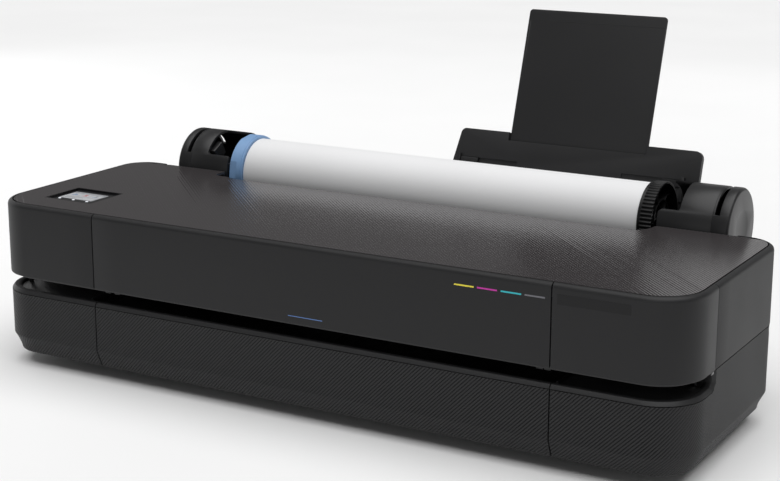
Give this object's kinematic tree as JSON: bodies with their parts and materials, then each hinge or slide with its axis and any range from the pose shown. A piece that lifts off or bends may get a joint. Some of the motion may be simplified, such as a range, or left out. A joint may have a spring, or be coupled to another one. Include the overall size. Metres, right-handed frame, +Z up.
{
  "type": "large format plotter",
  "caption": "Desktop wide-format inkjet plotter with lift-up lid, exposed media roll on a spindle, hinged ink door and a raised rear sheet tray with extension.",
  "frame": {"origin": "centre of the footprint of the whole plotter, tray raised, on the floor plane", "axes": "+X to the right seen from the front, along the print width; +Y to the rear; +Z up"},
  "size_m": [1.013, 0.5296, 0.4769],
  "materials": {
    "dark_plastic": "fine satin texture",
    "foot_rubber": "matt",
    "ribbed_shell": "fine diagonal ribs",
    "smooth_shell": "fine grain",
    "lid_plastic": "fine diagonal ribs, satin",
    "display_black": "gloss",
    "screen_glass": "glossy lit screen",
    "key_white": "backlit",
    "holder_plastic": "satin",
    "steel": "ground",
    "sheet_steel": "zinc plated sheet",
    "card": "wound card",
    "paper": "uncoated white",
    "blue_plastic": "satin",
    "black_plastic": "satin",
    "carriage_plastic": "satin",
    "belt_rubber": "matt",
    "motor_black": "black",
    "cartridge_plastic": "satin",
    "board": "solder mask",
    "tray_plastic": "fine grain"
  },
  "bodies": {
    "chassis": {"base_chassis": "dark_plastic", "foot_front_left": "foot_rubber", "foot_front_right": "foot_rubber", "foot_rear_left": "foot_rubber", "foot_rear_right": "foot_rubber", "lower_cover_center": "ribbed_shell", "lower_cover_left": "ribbed_shell", "lower_cover_right": "ribbed_shell", "front_panel_center": "smooth_shell", "front_cover_left": "smooth_shell", "side_cover_left": "smooth_shell", "side_cover_right": "smooth_shell", "output_deck": "dark_plastic", "front_chin": "dark_plastic", "rear_cover": "smooth_shell", "power_inlet": "dark_plastic", "roll_cradle": "dark_plastic", "roll_holder_left": "holder_plastic", "roll_holder_right": "holder_plastic", "side_frame_left": "sheet_steel", "side_frame_right": "sheet_steel", "guide_rail": "sheet_steel", "guide_rod": "steel", "carriage_belt": "belt_rubber", "carriage_motor": "motor_black", "platen": "dark_plastic", "service_station": "dark_plastic", "ink_bay": "dark_plastic", "main_board": "board", "power_supply": "sheet_steel"},
    "lid": {"top_cover": "lid_plastic", "display_bezel": "display_black", "display_screen": "screen_glass"},
    "key_home": {"key_home": "key_white"},
    "key_back": {"key_back": "key_white"},
    "key_help": {"key_help": "key_white"},
    "ink_door": {"ink_door": "smooth_shell"},
    "cartridge_black": {"cartridge_black": "cartridge_plastic"},
    "cartridge_cyan": {"cartridge_cyan": "cartridge_plastic"},
    "cartridge_magenta": {"cartridge_magenta": "cartridge_plastic"},
    "cartridge_yellow": {"cartridge_yellow": "cartridge_plastic"},
    "carriage": {"carriage": "carriage_plastic", "printhead": "carriage_plastic"},
    "drive_pulley": {"drive_pulley": "steel"},
    "idler_pulley": {"idler_pulley": "steel"},
    "feed_roller": {"feed_roller": "steel"},
    "pinch_shaft": {"pinch_shaft": "belt_rubber"},
    "exit_roller": {"exit_roller": "belt_rubber"},
    "cutter": {"cutter_unit": "carriage_plastic"},
    "spindle_bearings": {"spindle_bearing_left": "dark_plastic", "spindle_bearing_right": "dark_plastic"},
    "spindle": {"spindle_shaft": "steel", "flange_blue": "blue_plastic", "flange_black": "black_plastic", "paper_core": "card", "paper_roll": "paper"},
    "sheet_tray": {"sheet_tray": "tray_plastic"},
    "tray_extension": {"tray_extension": "tray_plastic"},
    "edge_guide_left": {"edge_guide_left": "tray_plastic"},
    "edge_guide_right": {"edge_guide_right": "tray_plastic"}
  },
  "joints": [
    {"name": "lid_hinge", "type": "hinge", "parent": "chassis", "child": "lid", "pos_m": [0, 0.05483, 0.2292], "axis": [-1, 0, 0], "range_deg": [0, 70]},
    {"name": "key_home_press", "type": "slide", "parent": "lid", "child": "key_home", "axis": [0, 0, -1], "range_m": [0, 0.0005], "stiffness_N_per_m": 400},
    {"name": "key_back_press", "type": "slide", "parent": "lid", "child": "key_back", "axis": [0, 0, -1], "range_m": [0, 0.0005], "stiffness_N_per_m": 400},
    {"name": "key_help_press", "type": "slide", "parent": "lid", "child": "key_help", "axis": [0, 0, -1], "range_m": [0, 0.0005], "stiffness_N_per_m": 400},
    {"name": "ink_door_hinge", "type": "hinge", "parent": "chassis", "child": "ink_door", "pos_m": [0.504, -0.18077, 0.18], "axis": [0, 0, 1], "range_deg": [0, 95]},
    {"name": "cartridge_black_release", "type": "slide", "parent": "chassis", "child": "cartridge_black", "axis": [0, -1, 0], "range_m": [0, 0.006]},
    {"name": "cartridge_cyan_release", "type": "slide", "parent": "chassis", "child": "cartridge_cyan", "axis": [0, -1, 0], "range_m": [0, 0.006]},
    {"name": "cartridge_magenta_release", "type": "slide", "parent": "chassis", "child": "cartridge_magenta", "axis": [0, -1, 0], "range_m": [0, 0.006]},
    {"name": "cartridge_yellow_release", "type": "slide", "parent": "chassis", "child": "cartridge_yellow", "axis": [0, -1, 0], "range_m": [0, 0.006]},
    {"name": "carriage_slide", "type": "slide", "parent": "chassis", "child": "carriage", "axis": [-1, 0, 0], "range_m": [0, 0.8]},
    {"name": "drive_pulley_spin", "type": "hinge", "parent": "chassis", "child": "drive_pulley", "pos_m": [0.455, -0.02477, 0.17], "axis": [0, 0, 1], "continuous": true},
    {"name": "idler_pulley_spin", "type": "hinge", "parent": "chassis", "child": "idler_pulley", "pos_m": [-0.455, -0.02477, 0.17], "axis": [0, 0, 1], "continuous": true},
    {"name": "feed_roller_spin", "type": "hinge", "parent": "chassis", "child": "feed_roller", "pos_m": [0, -0.05977, 0.112], "axis": [1, 0, 0], "continuous": true},
    {"name": "pinch_shaft_spin", "type": "hinge", "parent": "chassis", "child": "pinch_shaft", "pos_m": [0, -0.05877, 0.126], "axis": [1, 0, 0], "continuous": true},
    {"name": "exit_roller_spin", "type": "hinge", "parent": "chassis", "child": "exit_roller", "pos_m": [0, -0.18077, 0.108], "axis": [1, 0, 0], "continuous": true},
    {"name": "cutter_slide", "type": "slide", "parent": "chassis", "child": "cutter", "axis": [1, 0, 0], "range_m": [0, 0.65]},
    {"name": "spindle_lift", "type": "slide", "parent": "chassis", "child": "spindle_bearings", "axis": [0, 0, 1], "range_m": [0, 0.12]},
    {"name": "spindle_spin", "type": "hinge", "parent": "spindle_bearings", "child": "spindle", "pos_m": [0, 0.11423, 0.2268], "axis": [1, 0, 0], "continuous": true},
    {"name": "tray_hinge", "type": "hinge", "parent": "chassis", "child": "sheet_tray", "pos_m": [0, 0.17951, 0.22861], "axis": [1, 0, 0], "range_deg": [0, 18]},
    {"name": "extension_slide", "type": "slide", "parent": "sheet_tray", "child": "tray_extension", "axis": [0, -0.309, -0.9511], "range_m": [0, 0.04]},
    {"name": "edge_guide_left_slide", "type": "slide", "parent": "sheet_tray", "child": "edge_guide_left", "axis": [1, 0, 0], "range_m": [0, 0.06]},
    {"name": "edge_guide_right_slide", "type": "slide", "parent": "sheet_tray", "child": "edge_guide_right", "axis": [-1, 0, 0], "range_m": [0, 0.06]}
  ],
  "couplings": [
    {"joint": "drive_pulley_spin", "follows": "carriage_slide", "rad_per_m": 113.6},
    {"joint": "idler_pulley_spin", "follows": "carriage_slide", "rad_per_m": 113.6},
    {"joint": "pinch_shaft_spin", "follows": "feed_roller_spin", "ratio": -2.0455},
    {"joint": "exit_roller_spin", "follows": "feed_roller_spin", "ratio": 1.2857},
    {"joint": "edge_guide_right_slide", "follows": "edge_guide_left_slide", "ratio": 1}
  ]
}
